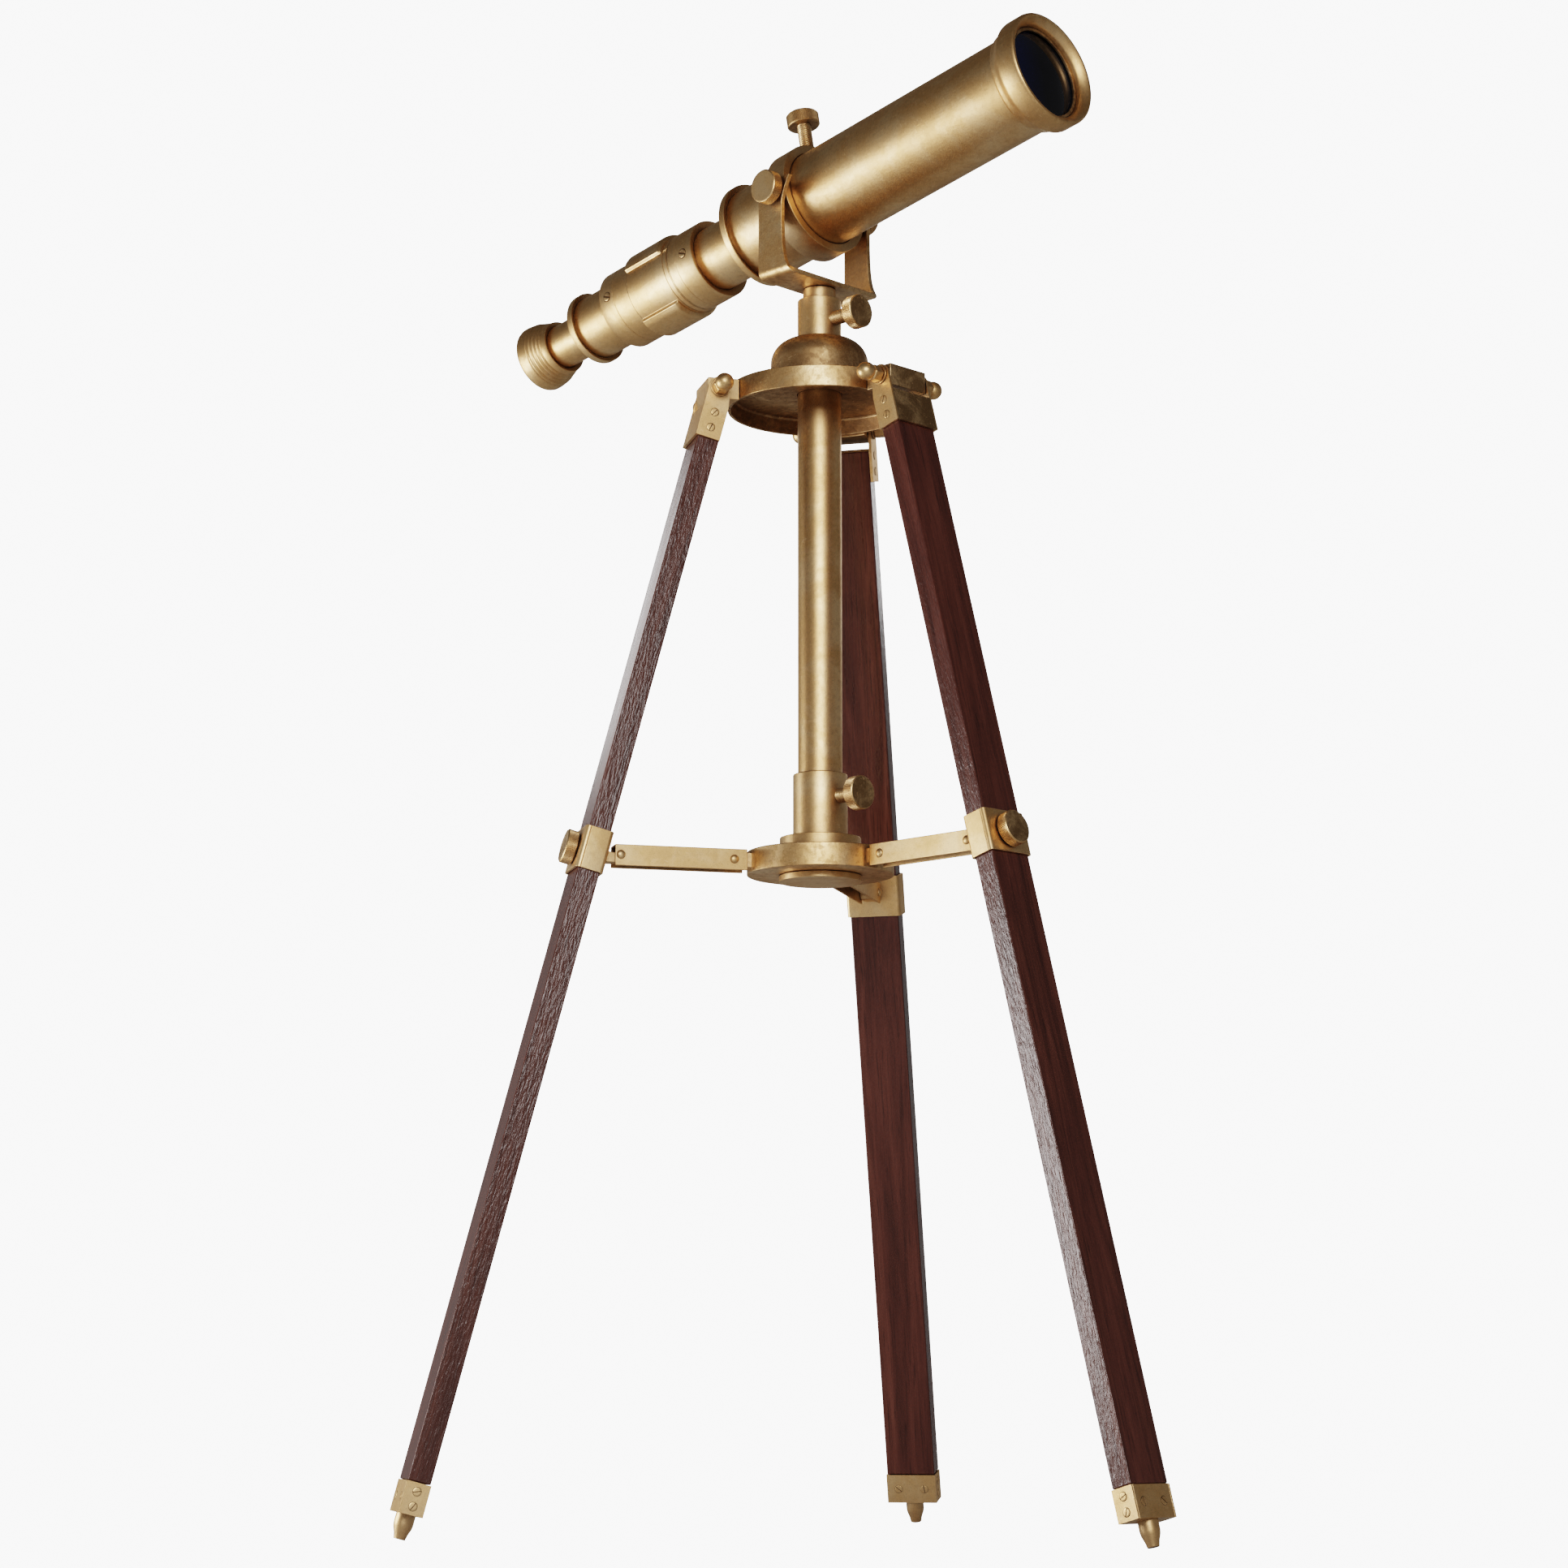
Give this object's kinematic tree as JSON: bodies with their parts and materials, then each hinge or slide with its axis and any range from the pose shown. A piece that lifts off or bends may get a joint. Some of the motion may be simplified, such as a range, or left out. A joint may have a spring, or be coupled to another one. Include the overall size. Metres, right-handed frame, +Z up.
{
  "type": "brass telescope on tripod",
  "caption": "Draw-tube telescope of aged brass in a tilting yoke on a height-adjustable post, carried by a folding wooden tripod with a spreader.",
  "frame": {"origin": "point on the floor under the axis of the centre post", "axes": "+Z up along the post, +X towards the leg that the object glass points over"},
  "size_m": [0.5424, 0.4774, 0.9365],
  "materials": {
    "brass": "aged, brushed, patinated",
    "wood": "dark mahogany, glossy varnish",
    "glass": "polished, coated"
  },
  "bodies": {
    "stand": {"top_plate": "brass", "dome_collar": "brass", "hub": "brass", "hub_flange": "brass", "hub_cap": "brass", "lower_socket": "brass", "hinge_block_a": "brass", "hinge_block_b": "brass", "hinge_block_c": "brass", "hinge_pin_a": "brass", "hinge_pin_b": "brass", "hinge_pin_c": "brass"},
    "lower_screw": {"lower_thumbscrew": "brass"},
    "post": {"centre_post": "brass"},
    "azimuth_screw": {"azimuth_thumbscrew": "brass"},
    "yoke": {"yoke": "brass", "yoke_spigot": "brass"},
    "trunnion_knob": {"trunnion_knob": "brass"},
    "trunnion_nut": {"trunnion_nut": "brass"},
    "cradle": {"cradle_ring": "brass"},
    "cradle_screw": {"cradle_thumbscrew": "brass"},
    "tube": {"main_tube": "brass", "objective_cell": "brass", "objective_lens": "glass", "lens_retaining_ring": "brass", "rear_flange_ring": "brass"},
    "draw_1": {"draw_tube_1": "brass", "draw_flange_ring": "brass", "sleeve_collar_front": "brass", "sleeve_collar_rear": "brass", "sleeve_screw_front": "brass", "sleeve_screw_rear": "brass"},
    "focus": {"focus_grip": "brass"},
    "draw_2": {"draw_tube_2": "brass", "eyepiece": "brass", "eye_lens": "glass", "field_lens": "glass"},
    "leg_a": {"leg_bracket_a": "brass", "leg_a": "wood", "foot_cap_a": "brass", "foot_spike_a": "brass"},
    "clamp_a": {"leg_clamp_a": "brass"},
    "clamp_knob_a": {"clamp_knob_a": "brass"},
    "arm_a": {"spreader_arm_a": "brass"},
    "leg_b": {"leg_bracket_b": "brass", "leg_b": "wood", "foot_cap_b": "brass", "foot_spike_b": "brass"},
    "clamp_b": {"leg_clamp_b": "brass"},
    "clamp_knob_b": {"clamp_knob_b": "brass"},
    "arm_b": {"spreader_arm_b": "brass"},
    "leg_c": {"leg_bracket_c": "brass", "leg_c": "wood", "foot_cap_c": "brass", "foot_spike_c": "brass"},
    "clamp_c": {"leg_clamp_c": "brass"},
    "clamp_knob_c": {"clamp_knob_c": "brass"},
    "arm_c": {"spreader_arm_c": "brass"}
  },
  "joints": [
    {"name": "post_lift", "type": "slide", "parent": "stand", "child": "post", "axis": [0, 0, 1], "range_m": [0, 0.04]},
    {"name": "yoke_turn", "type": "hinge", "parent": "post", "child": "yoke", "pos_m": [0, 0, 0.7815], "axis": [0, 0, 1], "continuous": true},
    {"name": "tube_tilt", "type": "hinge", "parent": "yoke", "child": "cradle", "pos_m": [0, 0, 0.8592], "axis": [0.0157, -0.9999, 0], "range_deg": [-35, 29]},
    {"name": "tube_slide", "type": "slide", "parent": "cradle", "child": "tube", "axis": [0.9828, 0.0154, 0.184], "range_m": [-0.03, 0.03]},
    {"name": "draw_slide", "type": "slide", "parent": "tube", "child": "draw_1", "axis": [0.9828, 0.0154, 0.184], "range_m": [-0.02, 0.033]},
    {"name": "focus_turn", "type": "hinge", "parent": "draw_1", "child": "focus", "pos_m": [-0.13567, -0.00213, 0.83676], "axis": [0.9828, 0.0154, 0.184], "range_deg": [-180, 180]},
    {"name": "focus_slide", "type": "slide", "parent": "draw_1", "child": "draw_2", "axis": [0.9828, 0.0154, 0.184], "range_m": [-0.00503, 0.00503]},
    {"name": "azimuth_screw_turn", "type": "hinge", "parent": "post", "child": "azimuth_screw", "pos_m": [0.038, 0, 0.7785], "axis": [1, 0, 0], "range_deg": [-90, 90]},
    {"name": "lower_screw_turn", "type": "hinge", "parent": "stand", "child": "lower_screw", "pos_m": [0.038, 0, 0.4617], "axis": [1, 0, 0], "range_deg": [-90, 90]},
    {"name": "trunnion_knob_turn", "type": "hinge", "parent": "yoke", "child": "trunnion_knob", "pos_m": [0.00084, -0.05359, 0.8592], "axis": [0.0157, -0.9999, 0], "range_deg": [-90, 90]},
    {"name": "trunnion_nut_turn", "type": "hinge", "parent": "yoke", "child": "trunnion_nut", "pos_m": [-0.00077, 0.04879, 0.8592], "axis": [-0.0157, 0.9999, 0], "range_deg": [-90, 90]},
    {"name": "cradle_screw_turn", "type": "hinge", "parent": "cradle", "child": "cradle_screw", "pos_m": [-0.01553, -0.00024, 0.92588], "axis": [-0.1839, -0.0029, 0.9829], "range_deg": [-90, 90]},
    {"name": "leg_fold_a", "type": "hinge", "parent": "stand", "child": "leg_a", "pos_m": [0.0717, 0, 0.724], "axis": [0, 1, 0], "range_deg": [0, 3.2]},
    {"name": "clamp_slide_a", "type": "slide", "parent": "leg_a", "child": "clamp_a", "axis": [0.2575, 0, -0.9663], "range_m": [0, 0.03725]},
    {"name": "arm_swing_a", "type": "hinge", "parent": "stand", "child": "arm_a", "pos_m": [0.0583, 0, 0.4196], "axis": [0, 1, 0], "range_deg": [0, 31.73]},
    {"name": "clamp_knob_turn_a", "type": "hinge", "parent": "clamp_a", "child": "clamp_knob_a", "pos_m": [0.16698, 0, 0.42505], "axis": [0.9663, 0, 0.2575], "range_deg": [-90, 90]},
    {"name": "leg_fold_b", "type": "hinge", "parent": "stand", "child": "leg_b", "pos_m": [-0.03585, 0.06209, 0.724], "axis": [-0.866, -0.5, 0], "range_deg": [0, 3.2]},
    {"name": "clamp_slide_b", "type": "slide", "parent": "leg_b", "child": "clamp_b", "axis": [-0.1287, 0.223, -0.9663], "range_m": [0, 0.03725]},
    {"name": "arm_swing_b", "type": "hinge", "parent": "stand", "child": "arm_b", "pos_m": [-0.02915, 0.05049, 0.4196], "axis": [-0.866, -0.5, 0], "range_deg": [0, 31.73]},
    {"name": "clamp_knob_turn_b", "type": "hinge", "parent": "clamp_b", "child": "clamp_knob_b", "pos_m": [-0.08349, 0.14461, 0.42505], "axis": [-0.4831, 0.8368, 0.2575], "range_deg": [-90, 90]},
    {"name": "leg_fold_c", "type": "hinge", "parent": "stand", "child": "leg_c", "pos_m": [-0.03585, -0.06209, 0.724], "axis": [0.866, -0.5, 0], "range_deg": [0, 3.2]},
    {"name": "clamp_slide_c", "type": "slide", "parent": "leg_c", "child": "clamp_c", "axis": [-0.1287, -0.223, -0.9663], "range_m": [0, 0.03725]},
    {"name": "arm_swing_c", "type": "hinge", "parent": "stand", "child": "arm_c", "pos_m": [-0.02915, -0.05049, 0.4196], "axis": [0.866, -0.5, 0], "range_deg": [0, 31.73]},
    {"name": "clamp_knob_turn_c", "type": "hinge", "parent": "clamp_c", "child": "clamp_knob_c", "pos_m": [-0.08349, -0.14461, 0.42505], "axis": [-0.4831, -0.8368, 0.2575], "range_deg": [-90, 90]}
  ],
  "couplings": [
    {"joint": "focus_slide", "follows": "focus_turn", "m_per_rad": 0.0016},
    {"joint": "clamp_slide_a", "follows": "leg_fold_a", "m_per_rad": 0.6652},
    {"joint": "arm_swing_a", "follows": "leg_fold_a", "ratio": 9.8844},
    {"joint": "leg_fold_b", "follows": "leg_fold_a", "ratio": 1},
    {"joint": "clamp_slide_b", "follows": "leg_fold_a", "m_per_rad": 0.6652},
    {"joint": "arm_swing_b", "follows": "leg_fold_a", "ratio": 9.8844},
    {"joint": "leg_fold_c", "follows": "leg_fold_a", "ratio": 1},
    {"joint": "clamp_slide_c", "follows": "leg_fold_a", "m_per_rad": 0.6652},
    {"joint": "arm_swing_c", "follows": "leg_fold_a", "ratio": 9.8844}
  ]
}
